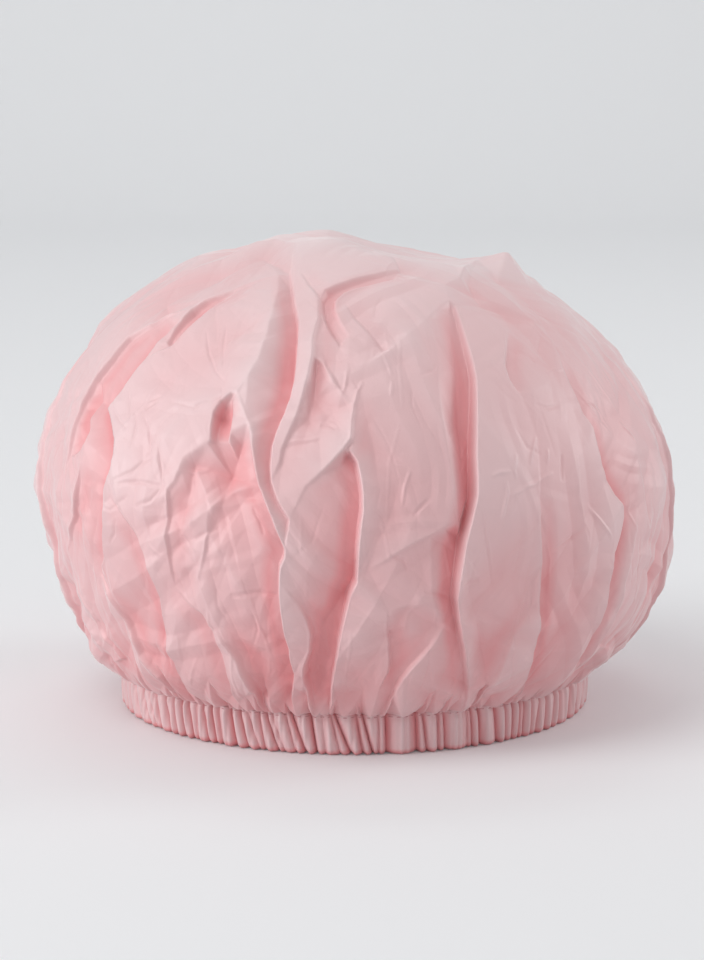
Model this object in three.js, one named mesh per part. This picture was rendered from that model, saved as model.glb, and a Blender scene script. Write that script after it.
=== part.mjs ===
// Shower cap: a puffed crown of thin coated cloth, gathered onto an elasticated hem.
// Millimetres, +Z up. The cap stands on its hem, the origin is the middle of the hem's foot,
// and -Y is the front. Azimuths are measured from the front and grow towards +X.
import * as THREE from "three";

// Cloth
const CLOTH = 0.3; // thickness of one ply
const GAP = 0.3; // clearance between pieces that bear on each other

// Crown
const CROWN_RADIUS = 115; // widest reach of the pleats
const CROWN_HEIGHT = 171; // foot of the hem to the top of the crown
const WIDEST_HEIGHT = 80; // foot of the hem to the widest level
const CROWN_FULLNESS = 2.05; // exponent of the outline above the widest level: 2 is an ellipse, more is squarer
const FOOT_FULLNESS = 1.75; // the same below it
const CROWN_LEVELS = [-64, -40, -16, 10, 30, 48, 64, 78]; // angle of each ring seen from the widest level
const PLEAT_FADE = 56; // angle over which a pleat flattens out, up to its reach
const EDGE_WIDTH = 2.5; // angle round the crown from a pleat's valley to the edge that laps over it
const SLACK_WIDTH = 7; // angle from the valley to the slack cloth on its other side
const SLACK_SAG = 0.3; // share of the pleat's depth that the slack cloth lies below the edge
const PLAIN_WIDTH = 12; // widest angle between two columns of points in the plain cloth between pleats
const TOP_SHIFT = -7; // sideways lean of the top of the crown
const DENT_PLACE = 31; // a slack hollow in the top: how far it lies to the side of the middle
const DENT_DEPTH = 7;
const DENT_SPREAD = 17;
const LOW_LEAN = 3.5; // sideways lean of the lower part, at its own height and over its own spread
const LEAN_HEIGHT = 45;
const LEAN_SPREAD = 20;

// The pleats of the front: azimuth and depth of the valley at the widest level, the side on which its edge lies,
// the angles by which it has turned sideways at the hem and at the top, and the angle above the widest level at
// which it is gone
const FRONT_PLEATS = [
  { azimuth: -67, depth: 3, edge: -1, foot: -1, top: 4, reach: 60 },
  { azimuth: -50, depth: 8, edge: 1, foot: 7, top: -3, reach: 80 },
  { azimuth: -31, depth: 4, edge: -1, foot: 3, top: 0, reach: 50 },
  { azimuth: -13, depth: 5, edge: 1, foot: -2, top: -2, reach: 82 },
  { azimuth: 1, depth: 6, edge: 1, foot: -6, top: -3, reach: 40 },
  { azimuth: 19, depth: 8, edge: 1, foot: 8, top: 15, reach: 80 },
  { azimuth: 33, depth: 4, edge: -1, foot: 8, top: 12, reach: 40 },
  { azimuth: 52, depth: 6, edge: -1, foot: 6, top: 8, reach: 70 },
  { azimuth: 66, depth: 3, edge: -1, foot: 2, top: 6, reach: 50 },
];
// The back repeats them, mirrored and spread a little differently
const BACK_STRENGTH = 0.9; // depth at the back, as a share of the depth at the front
const BACK_SPREAD = 7.5; // angle by which a pleat at the back is moved at most
const BACK_BEAT = 3; // waves of that movement round the crown
const BACK_START = -224; // angle at which they start

// Hem: the cloth is turned up inside to make a tunnel for the elastic
const HEM_RADIUS = 84.5; // ridges of the gathers on the outside of the hem
const GATHERS = 62; // gathers round the hem
const GATHER_DEPTH = 2.2; // ridge to valley
const GATHER_SPREAD = 0.3; // how unevenly the gathers are spaced, as a share of half a gather
const GATHER_UNEVENNESS = 0.35; // how much lower the lowest ridge is, as a share of the depth
const SPACING_BEAT = 2.4; // radians from one column to the next in the wave that spreads the gathers
const RIDGE_BEAT = 1.7; // the same for the wave that lowers the ridges
const TUNNEL_EASE = 3.4; // height of the tunnel above the elastic, up to the stitch line

// Elastic: one flat strip joined into a loop by lapping its ends
const ELASTIC_WIDTH = 10;
const ELASTIC_THICKNESS = 0.8;
const ELASTIC_LAP = 14; // length over which the ends overlap
const ELASTIC_RAMP = 9; // length over which the outer end climbs onto the inner one
const ELASTIC_STEPS = 96;
const JOIN_AZIMUTH = 180; // the lap lies at the back
const JOIN_LEGS = 9; // legs of the zigzag that sews the lap
const JOIN_LEG_STEPS = 4;
const JOIN_ROUNDING = 0.2; // tension of the curve at the zigzag's corners
const JOIN_MARGIN = 2; // from the zigzag to the edges of the lap

// Threads
const HEM_THREAD = 0.4; // diameter
const STITCH_DROP = 1; // from the top of the hem down to the stitches
const JOIN_THREAD = 0.35; // diameter
const THREAD_SIDES = 5;

// Radii from the outside of the hem inwards
const tunnelOuter = HEM_RADIUS - GATHER_DEPTH - CLOTH;
const lapOuter = tunnelOuter - GAP - JOIN_THREAD - GAP;
const lapMiddle = lapOuter - ELASTIC_THICKNESS / 2;
const elasticMiddle = lapMiddle - ELASTIC_THICKNESS - GAP;
const turnUpRidge = elasticMiddle - ELASTIC_THICKNESS / 2 - GAP - CLOTH;

// Heights from the foot upwards
const elasticBottom = CLOTH + GAP;
const elasticTop = elasticBottom + ELASTIC_WIDTH;
const tunnelShoulder = elasticTop + GAP;
const hemTop = tunnelShoulder + TUNNEL_EASE;
const stitchHeight = hemTop - STITCH_DROP;
const seamHeight = hemTop + GAP;

// Finishes
const clothFinish = new THREE.MeshStandardMaterial({ color: "#e3b2b5", roughness: 0.5, metalness: 0 });
const elasticFinish = new THREE.MeshStandardMaterial({ color: "#efe6e2", roughness: 0.85, metalness: 0 });
const threadFinish = new THREE.MeshStandardMaterial({ color: "#cf9197", roughness: 0.7, metalness: 0 });

// A point at a radius, a height and an azimuth in radians from the front.
function around(radius, height, azimuth) {
  return new THREE.Vector3(radius * Math.sin(azimuth), -radius * Math.cos(azimuth), height);
}

// A closed solid from points and triangles, turned so that its faces point out.
function solidFrom(points, triangles) {
  const volume = triangles.reduce((sum, [a, b, c]) => {
    return sum + points[a].dot(new THREE.Vector3().crossVectors(points[b], points[c]));
  }, 0);
  const outward = volume > 0 ? triangles : triangles.map(([a, b, c]) => [a, c, b]);
  const geometry = new THREE.BufferGeometry().setFromPoints(points);
  geometry.setIndex(outward.flat());
  geometry.computeVertexNormals();
  return geometry;
}

// A solid lofted through sections with equal numbers of points, closed into a ring or capped at its ends.
function loft(sections, ring) {
  const points = sections.flat();
  const size = sections[0].length;
  const triangles = [];
  const spans = ring ? sections.length : sections.length - 1;
  for (let i = 0; i < spans; i++) {
    const here = i * size;
    const next = ((i + 1) % sections.length) * size;
    for (let j = 0; j < size; j++) {
      const k = (j + 1) % size;
      triangles.push([here + j, next + j, next + k], [here + j, next + k, here + k]);
    }
  }
  if (!ring) {
    const last = (sections.length - 1) * size;
    for (let j = 1; j < size - 1; j++) {
      triangles.push([0, j, j + 1], [last, last + j + 1, last + j]);
    }
  }
  return solidFrom(points, triangles);
}

// Triangles between two rings of points that may differ in number.
// Each ring is a list of { index, azimuth } by rising azimuth.
function bridge(lower, upper) {
  const triangles = [];
  const turnOf = (ring, i) => ring[i % ring.length].azimuth + 2 * Math.PI * Math.floor(i / ring.length);
  const indexOf = (ring, i) => ring[i % ring.length].index;
  let i = 0;
  let j = 0;
  while (i < lower.length || j < upper.length) {
    const stepLower = j >= upper.length || (i < lower.length && turnOf(lower, i + 1) <= turnOf(upper, j + 1));
    if (stepLower) {
      triangles.push([indexOf(lower, i), indexOf(lower, i + 1), indexOf(upper, j)]);
      i++;
    } else {
      triangles.push([indexOf(lower, i), indexOf(upper, j + 1), indexOf(upper, j)]);
      j++;
    }
  }
  return triangles;
}

// The gathers of the hem as a ring of valleys and ridges, unevenly spaced and unevenly high.
// swell is 0 in a valley and up to 1 on a ridge.
const gatherColumns = Array.from({ length: 2 * GATHERS }, (_, i) => {
  const step = Math.PI / GATHERS;
  const isRidge = i % 2 === 1;
  return {
    azimuth: (i + GATHER_SPREAD * Math.sin(SPACING_BEAT * i)) * step,
    swell: isRidge ? 1 - GATHER_UNEVENNESS * (0.5 + 0.5 * Math.sin(RIDGE_BEAT * i)) : 0,
  };
});
const hemReach = (swell) => HEM_RADIUS - GATHER_DEPTH * (1 - swell);
const turnUpReach = (swell) => turnUpRidge - GATHER_DEPTH * (1 - swell);
// At the stitch line the turned-up ply lies against the inside of the outer one.
const pinchReach = (swell) => hemReach(swell) - CLOTH - GAP - CLOTH;

// The pleats all round the crown.
const backPleats = FRONT_PLEATS.map((pleat) => {
  const moved = BACK_SPREAD * Math.sin(THREE.MathUtils.degToRad(BACK_BEAT * pleat.azimuth + BACK_START));
  return {
    azimuth: 180 - pleat.azimuth + moved,
    depth: BACK_STRENGTH * pleat.depth,
    edge: -pleat.edge,
    foot: -pleat.foot,
    top: -pleat.top,
    reach: pleat.reach,
  };
});
const pleats = [...FRONT_PLEATS, ...backPleats];

// A column of points on the crown, part of the way from one column to the next.
function columnBetween(column, next, share) {
  const span = THREE.MathUtils.euclideanModulo(next.azimuth - column.azimuth, 2 * Math.PI);
  return {
    azimuth: THREE.MathUtils.euclideanModulo(column.azimuth + share * span, 2 * Math.PI),
    foot: THREE.MathUtils.lerp(column.foot, next.foot, share),
    top: THREE.MathUtils.lerp(column.top, next.top, share),
    reach: THREE.MathUtils.lerp(column.reach, next.reach, share),
    inset: THREE.MathUtils.lerp(column.inset, next.inset, share),
  };
}

// The columns of the crown: an edge, a valley and slack cloth for each pleat, and plain cloth between the pleats.
function crownColumns() {
  const columns = pleats.flatMap(({ azimuth, depth, edge, foot, top, reach }) => {
    const column = (aside, inset) => ({
      azimuth: THREE.MathUtils.degToRad(THREE.MathUtils.euclideanModulo(azimuth + aside, 360)),
      foot: THREE.MathUtils.degToRad(foot),
      top: THREE.MathUtils.degToRad(top),
      reach,
      inset,
    });
    return [column(edge * EDGE_WIDTH, 0), column(0, depth), column(-edge * SLACK_WIDTH, SLACK_SAG * depth)];
  });
  columns.sort((a, b) => a.azimuth - b.azimuth);
  const filled = columns.flatMap((column, i) => {
    const next = columns[(i + 1) % columns.length];
    const span = THREE.MathUtils.euclideanModulo(next.azimuth - column.azimuth, 2 * Math.PI);
    const steps = Math.ceil(span / THREE.MathUtils.degToRad(PLAIN_WIDTH));
    return Array.from({ length: steps }, (_, k) => columnBetween(column, next, k / steps));
  });
  return filled.sort((a, b) => a.azimuth - b.azimuth);
}

// The crown's outline at an angle seen from the widest level, with its outward normal: a quarter of a superellipse
// below, which runs into the hem, and another above, which runs to the top.
function crownOutline(degrees) {
  const below = degrees < 0;
  const start = below ? HEM_RADIUS : 0;
  const width = CROWN_RADIUS - start;
  const rise = below ? seamHeight - WIDEST_HEIGHT : CROWN_HEIGHT - WIDEST_HEIGHT;
  const fullness = below ? FOOT_FULLNESS : CROWN_FULLNESS;
  const angle = THREE.MathUtils.degToRad(Math.abs(degrees));
  const across = Math.cos(angle) ** (2 / fullness);
  const up = Math.sin(angle) ** (2 / fullness);
  return {
    point: new THREE.Vector2(start + width * across, WIDEST_HEIGHT + rise * up),
    normal: new THREE.Vector2(across ** (fullness - 1) / width, up ** (fullness - 1) / rise).normalize(),
  };
}

// The slack crown's slump: the top leans sideways and has a shallow hollow, and the lower part leans the other way.
function slumped(point) {
  const rise = Math.max(0, (point.z - WIDEST_HEIGHT) / (CROWN_HEIGHT - WIDEST_HEIGHT));
  const spread = Math.hypot(point.x - DENT_PLACE, point.y) / DENT_SPREAD;
  const dent = DENT_DEPTH * rise * Math.exp(-0.5 * spread ** 2);
  const below = Math.exp(-0.5 * ((point.z - LEAN_HEIGHT) / LEAN_SPREAD) ** 2);
  const lean = LOW_LEAN * below * THREE.MathUtils.smoothstep(point.z, seamHeight, LEAN_HEIGHT);
  return new THREE.Vector3(point.x + TOP_SHIFT * rise ** 2 + lean, point.y, point.z - dent);
}

// The crown: one gathered skin of cloth, closed at the top and open at the stitch line.
function crown() {
  const columns = crownColumns();
  const points = [];
  const ringAt = (places) => places.map(({ azimuth, turned, radius, height }) => {
    points.push(slumped(around(radius, height, turned)));
    return { index: points.length - 1, azimuth };
  });
  // One face of the cloth, as rings from the stitch line to the top, set in from the outer face.
  const skin = (setIn) => {
    const seam = gatherColumns.map(({ azimuth, swell }) => {
      return { azimuth, turned: azimuth, radius: hemReach(swell) - setIn, height: seamHeight };
    });
    const rings = [ringAt(seam)];
    for (const degrees of CROWN_LEVELS) {
      const { point, normal } = crownOutline(degrees);
      const places = columns.map(({ azimuth, foot, top, reach, inset }) => {
        const fade = 1 - THREE.MathUtils.smoothstep(degrees, reach - PLEAT_FADE, reach);
        const inwards = inset * fade + setIn;
        const turn = degrees < 0 ? foot : top;
        return {
          azimuth,
          turned: azimuth + (turn * Math.abs(degrees)) / 90,
          radius: point.x - normal.x * inwards,
          height: point.y - normal.y * inwards,
        };
      });
      rings.push(ringAt(places));
    }
    points.push(slumped(new THREE.Vector3(0, 0, CROWN_HEIGHT - setIn)));
    const top = points.length - 1;
    const last = rings[rings.length - 1];
    const triangles = rings.slice(1).flatMap((ring, i) => bridge(rings[i], ring));
    last.forEach(({ index }, i) => triangles.push([index, last[(i + 1) % last.length].index, top]));
    return { seam: rings[0], triangles };
  };
  const outer = skin(0);
  const inner = skin(CLOTH);
  const turned = inner.triangles.map(([a, b, c]) => [a, c, b]);
  return solidFrom(points, [...outer.triangles, ...turned, ...bridge(inner.seam, outer.seam)]);
}

// The hem: outer ply down to the foot, turned up inside round the tunnel, and caught at the stitch line.
function hemCasing() {
  const sections = gatherColumns.map(({ azimuth, swell }) => {
    const outer = hemReach(swell);
    const inner = turnUpReach(swell);
    const pinch = pinchReach(swell);
    const profile = [
      [outer, hemTop],
      [outer, 0],
      [inner, 0],
      [inner, tunnelShoulder],
      [pinch, hemTop],
      [pinch + CLOTH, hemTop],
      [inner + CLOTH, tunnelShoulder],
      [inner + CLOTH, CLOTH],
      [outer - CLOTH, CLOTH],
      [outer - CLOTH, hemTop],
    ];
    return profile.map(([radius, height]) => around(radius, height, azimuth));
  });
  return loft(sections, true);
}

// A thread laid round the hem over its gathers, at a height and at a radius for each gather.
function hemThread(reach, height) {
  const sections = gatherColumns.map(({ azimuth, swell }) => {
    const middle = reach(swell);
    return Array.from({ length: THREAD_SIDES }, (_, k) => {
      const turn = (2 * Math.PI * k) / THREAD_SIDES;
      const out = (HEM_THREAD / 2) * Math.cos(turn);
      return around(middle + out, height + (HEM_THREAD / 2) * Math.sin(turn), azimuth);
    });
  });
  return loft(sections, true);
}
const outsideHem = (swell) => hemReach(swell) + GAP + HEM_THREAD / 2;
// The turned-up ply leans outwards above the tunnel, so the thread inside it stands off along that slope.
function insideHem(swell) {
  const share = (stitchHeight - tunnelShoulder) / TUNNEL_EASE;
  const lean = Math.hypot(1, (pinchReach(swell) - turnUpReach(swell)) / TUNNEL_EASE);
  const face = THREE.MathUtils.lerp(turnUpReach(swell), pinchReach(swell), share);
  return face - (GAP + HEM_THREAD / 2) * lean;
}

// The elastic: a flat strip once round the tunnel, its outer end lapped over the inner one.
const joinAzimuth = THREE.MathUtils.degToRad(JOIN_AZIMUTH);
function elasticBand() {
  const lapTurn = ELASTIC_LAP / lapMiddle;
  const rampTurn = ELASTIC_RAMP / lapMiddle;
  const start = joinAzimuth - lapTurn / 2;
  const sections = Array.from({ length: ELASTIC_STEPS + 1 }, (_, i) => {
    const turn = ((2 * Math.PI + lapTurn) * i) / ELASTIC_STEPS;
    const climb = THREE.MathUtils.smoothstep(turn, 2 * Math.PI - rampTurn, 2 * Math.PI);
    const middle = THREE.MathUtils.lerp(elasticMiddle, lapMiddle, climb);
    const inner = middle - ELASTIC_THICKNESS / 2;
    const outer = middle + ELASTIC_THICKNESS / 2;
    const profile = [
      [inner, elasticBottom],
      [outer, elasticBottom],
      [outer, elasticTop],
      [inner, elasticTop],
    ];
    return profile.map(([radius, height]) => around(radius, height, start + turn));
  });
  return loft(sections, false);
}

// The zigzag thread that sews the elastic's lapped ends together.
function elasticJoinThread() {
  const length = ELASTIC_LAP - 2 * JOIN_MARGIN;
  const radius = lapOuter + GAP + JOIN_THREAD / 2;
  const corners = Array.from({ length: JOIN_LEGS + 1 }, (_, i) => {
    const along = (i / JOIN_LEGS - 0.5) * length;
    const height = i % 2 ? elasticTop - JOIN_MARGIN : elasticBottom + JOIN_MARGIN;
    return around(radius, height, joinAzimuth + along / radius);
  });
  const section = new THREE.Shape().absarc(0, 0, JOIN_THREAD / 2, 0, 2 * Math.PI);
  return new THREE.ExtrudeGeometry(section, {
    extrudePath: new THREE.CatmullRomCurve3(corners, false, "catmullrom", JOIN_ROUNDING),
    steps: JOIN_LEG_STEPS * JOIN_LEGS,
    curveSegments: THREAD_SIDES,
  });
}

function piece(name, geometry, finish) {
  const mesh = new THREE.Mesh(geometry, finish);
  mesh.name = name;
  return mesh;
}

const elasticLoop = new THREE.Group().add(
  piece("elastic_band", elasticBand(), elasticFinish),
  piece("elastic_join_thread", elasticJoinThread(), threadFinish),
);

const cap = new THREE.Group().add(
  piece("crown", crown(), clothFinish),
  piece("hem_casing", hemCasing(), clothFinish),
  piece("hem_needle_thread", hemThread(outsideHem, stitchHeight), threadFinish),
  piece("hem_bobbin_thread", hemThread(insideHem, stitchHeight), threadFinish),
  elasticLoop,
);

export default cap;
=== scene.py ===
"""A pink shower cap standing on its gathered hem. Metres, +Z up, -Y to the front."""

import math

import bpy
import numpy as np
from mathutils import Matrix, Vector
from mathutils.geometry import delaunay_2d_cdt


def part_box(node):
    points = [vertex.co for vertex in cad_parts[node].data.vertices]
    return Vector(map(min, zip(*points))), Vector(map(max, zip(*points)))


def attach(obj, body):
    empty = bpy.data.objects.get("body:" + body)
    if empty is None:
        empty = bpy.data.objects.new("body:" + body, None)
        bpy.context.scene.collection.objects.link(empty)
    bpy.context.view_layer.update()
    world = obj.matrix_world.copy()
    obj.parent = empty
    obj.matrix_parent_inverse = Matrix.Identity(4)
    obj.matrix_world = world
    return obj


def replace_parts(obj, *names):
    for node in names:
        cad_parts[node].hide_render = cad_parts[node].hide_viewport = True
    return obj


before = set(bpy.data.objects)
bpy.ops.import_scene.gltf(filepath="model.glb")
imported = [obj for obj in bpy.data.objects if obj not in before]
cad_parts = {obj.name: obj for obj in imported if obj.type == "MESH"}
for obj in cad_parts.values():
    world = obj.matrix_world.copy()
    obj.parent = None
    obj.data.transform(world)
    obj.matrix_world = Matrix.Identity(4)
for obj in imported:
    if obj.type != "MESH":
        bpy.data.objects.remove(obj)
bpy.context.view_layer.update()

MM = 0.001
SEED = 23

# Camera fitted to the hem's ellipse in the photograph
PHOTO_WIDTH = 704
PHOTO_HEIGHT = 960
CAMERA_TARGET = Vector((-0.0009, 0.0, 0.0809))
CAMERA_DISTANCE = 1.1
CAMERA_ELEVATION = math.radians(10.0)
FOCAL_PIXELS = 3010
SENSOR_HEIGHT = 36

# Sizes taken from the frame, and how far the smooth dome lies inside and above the crown's box
crown_low, crown_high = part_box("crown")
hem_low, hem_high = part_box("hem_casing")
DOME_INSET = 0.35 * MM
TOP_RISE = 1.2 * MM
DOME_RADIUS = (crown_high.x - crown_low.x) / 2 - DOME_INSET
DOME_TOP = crown_high.z + TOP_RISE
HEM_RADIUS = (hem_high.x - hem_low.x) / 2
SEAM_HEIGHT = hem_high.z

# Form of the crown before it is folded
CLOTH = 0.26 * MM
WIDEST_HEIGHT = 80 * MM
UPPER_FULLNESS = 2.0
LOWER_FULLNESS = 1.75
TOP_SHIFT = -7 * MM
DENT_PLACE = 31 * MM
DENT_DEPTH = 9 * MM
DENT_SPREAD = 17 * MM
LOW_LEAN = 3.5 * MM
LEAN_HEIGHT = 45 * MM
LEAN_SPREAD = 20 * MM
SEAM_BLEND = 9 * MM

# Grids over the crown's blank, and the cells along each side of its mesh
SKIN_STEP = 2.0 * MM
SKIN_SWEEPS = 300
SKIN_PULL = 0.2495
SKIN_HASTE = 1.9
BLANK_STEP = 0.36 * MM
GRID_MARGIN = 9
RIM_POINTS = 360
RIM_OVERHANG = 1.02
CROWN_CELLS = 1080

# Folds, and the steps down to the cloth beside them
LEAST_ARC = 4 * MM
LAP_GAP = 0.9 * MM
SEAM_LAP = 0.4
LAP_FADE = 18 * MM
RIM_HEIGHT = 0.15 * MM
SEAM_REACH = 10 * MM
FOLD_ROUNDING = 1

# Folds at the back: weaker, bent round the crown and along it, and kept clear of the sides, top and seam
REAR_STRENGTH = 0.9
REAR_BEND = 0.13
REAR_SLIDE = 0.05
REAR_FROM = -0.16
REAR_TOP = 8 * MM
REAR_SEAM = 5 * MM

# Pleats at the sides: degrees from the side towards the back, the share of the arc where it starts,
# and its lift and its lap in mm
SIDE_PLEATS = (
    (-26, 0.6, 1.2, 1.5),
    (-11, 0.42, 1.8, -2.5),
    (3, 0.55, 1.6, 2.5),
    (15, 0.36, 2.4, 3.5),
    (28, 0.5, 2.0, -2.5),
)
SIDE_WAVE = 0.04
SIDE_WAVES = 8
SIDE_STEPS = 9

# Thin creases pressed into the cloth, and the gathers' own creases that run up into the crown
CREASE_DEPTH = 0.5 * MM
CREASE_HALF = 0.8 * MM
PANEL_LIFT = 1.2 * MM
LOOSE_CREASES = 560
LOOSE_LENGTH = (8 * MM, 32 * MM)
LOOSE_SPREAD = 0.5
LOOSE_DEPTH = 0.6
CREASE_RUN = (6 * MM, 22 * MM)
CREASE_LEAN = 0.012
CREASE_LEFT = 0.6
GATHER_RUN = 2.5 * MM

# Corners of the facets between the folds
FILL_SPACING = 13 * MM
FILL_TRIES = 6000
FILL_HEIGHT = 1.6 * MM
FILL_FADE = 45 * MM
FILL_END = 0.985
FILL_SPREAD = 0.62

# Crumple of the cloth: the width of its facets, their height, and how many patches of them
CRUMPLE = ((36 * MM, 1.2 * MM, 30), (18 * MM, 0.6 * MM, 110), (9 * MM, 0.18 * MM, 300))
PATCH_REACH = 2.2
PATCH_FADE = 0.3
WEAKEST_PATCH = 0.4
CRUMPLE_BEND = 0.08
CRUMPLE_UNEVEN = 0.32
UNEVEN_PITCH = 2.7
DOME_MIDDLE = 80 * MM
CRUMPLE_FADE = 20 * MM
TOP_CRUMPLE = 0.55
TOP_ZONE = (0.35, 0.7)

# How deep the crown's pink is: on the whole, more near the gathers as painted shade, and less at the top as a
# painted sheen
MEAN_PINK = 0.38
GATHERED_SHADE_PINK = 0.25
GATHERED_ZONE = (0.5, 1.0)
TOP_SHEEN_PALENESS = 0.15
PALE_ZONE = (0.1, 0.45)
MOST_PINK = 1.25

# Lift off the dome that turns the cloth from deep to pale pink, so that hollows get painted shade and raised
# cloth a painted paleness: of the folds, and of the crumple in them
FOLD_SHADE_LIFT = 8 * MM
CREASE_SHADE_LIFT = 14 * MM

# Shade on the cloth beside a fold that laps over: its half width, the laps' sum in mm that make it full,
# and how much pink it adds
SHADE_HALF = 3.5 * MM
FULL_SHADE = 8
SHADE_PINK = 0.4

# Hem: its plies and its foot
PLY_VALLEY = 82.2 * MM
TURN_UP_REACH = 78.5 * MM
ELASTIC_CLEAR = 10.9 * MM
PINCH_REACH = 81.5 * MM
PINCH_HEIGHT = 13.1 * MM
PINCH_STEPS = 6
FOOT_ROUND = 1.3 * MM
FOOT_EASE = 0.45 * MM
FOOT_SHARE = 0.35
FOOT_STEPS = 5
TURN_UP_ROUND = 0.6
HEM_STEPS = 15
HEM_COLUMNS = 1600
HEM_START = -math.pi * 3 / 4

# Hem: its gathers
GATHER_DEPTH = 3.8 * MM
GATHER_ROUND = 0.75
TURN_UP_GATHER = 1.9 * MM
TURN_UP_OFFSET = 0.01
REAR_PLEAT_LEAST = 2.2 * MM
REAR_PLEAT_MOST = 8.0 * MM
REAR_PLEAT_LEAN = 0.012
REAR_CREASE_LEAST = 0.4
WIDE_PLEAT = 4.0 * MM
FOOT_TAPER = 0.85
FOOT_NOTCH = 0.45 * MM
BARREL_HEIGHT = 8 * MM
FINE_GATHER = 0.08
FINE_COUNT = 240
FINE_DRIFT = 17
FINE_PATCHES = 29

# Hem: how deep its pink is, deeper down in the creases as painted shade and along the foot as a painted
# shadow
HEM_PINK = 0.1
CREASE_SHADE_PINK = 1.1
FOOT_SHADOW_PINK = 1.5
FOOT_SHADE = 2.2 * MM

# Stitch row of the hem
STITCH_HEIGHT = 13.3 * MM
STITCH_GROOVE = 0.55 * MM
STITCH_SPREAD = 0.9 * MM
VALLEY_DRAW = 0.4
STITCH_PITCH = 2.6 * MM
STITCH_LENGTH = 2.0 * MM
STITCH_RINGS = 7
STITCH_SIDES = 6
STITCH_SINK = 2.4
BOBBIN_DROP = 0.4 * MM
THREAD_RADIUS = 0.2 * MM

# Colours, and the fine bump in the materials: facets to the metre, strength and depth
# The pale pink is the cloth's own colour and also stands in for a painted sheen; the deep pink and the crease
# red are painted shade.
PALE_SHEEN_PINK = (0.8, 0.6, 0.612, 1)
DEEP_SHADE_PINK = (0.8, 0.31, 0.325, 1)
CREASE_SHADE_RED = (0.5, 0.13, 0.14, 1)
ELASTIC_WHITE = (0.86, 0.80, 0.77, 1)
THREAD_PINK = (0.62, 0.29, 0.31, 1)
PAPER_WHITE = (0.77, 0.785, 0.8, 1)
PAPER_GLOW = (0.98, 0.97, 1.0, 1)
PAPER_GLOW_STRENGTH = 0.07
CLOTH_BUMP = (160, 0.3, 0.6 * MM)
ELASTIC_BUMP = (900, 0.5, 0.3 * MM)
BROAD_SHARE = 0.35

# Stage, and the lamps: place, target, size in metres, power in watts and colour
FLOOR_REACH = 4.0
BACKDROP = 2.6
BACKDROP_HEIGHT = 3.5
BACKDROP_BEND = 0.7
BEND_STEPS = 14
CAP_MIDDLE = (0, 0, 0.08)
LAMPS = {
    "left_window": ((-1.65, -0.55, 0.42), CAP_MIDDLE, 0.9, 10, (0.98, 1.0, 1.0)),
    "roof_window": ((-0.75, -0.75, 1.65), CAP_MIDDLE, 1.2, 9, (1.0, 1.0, 1.0)),
    "right_window": ((1.6, 0.35, 0.7), CAP_MIDDLE, 0.7, 6, (1.0, 0.99, 0.99)),
    "backdrop_lamp": ((-0.2, 1.1, 2.2), (-0.2, BACKDROP, 0.3), 1.2, 8, (1.0, 1.0, 1.0)),
}
ROOM_COLOUR = (1.0, 0.985, 0.985, 1)
ROOM_STRENGTH = 0.56

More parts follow.
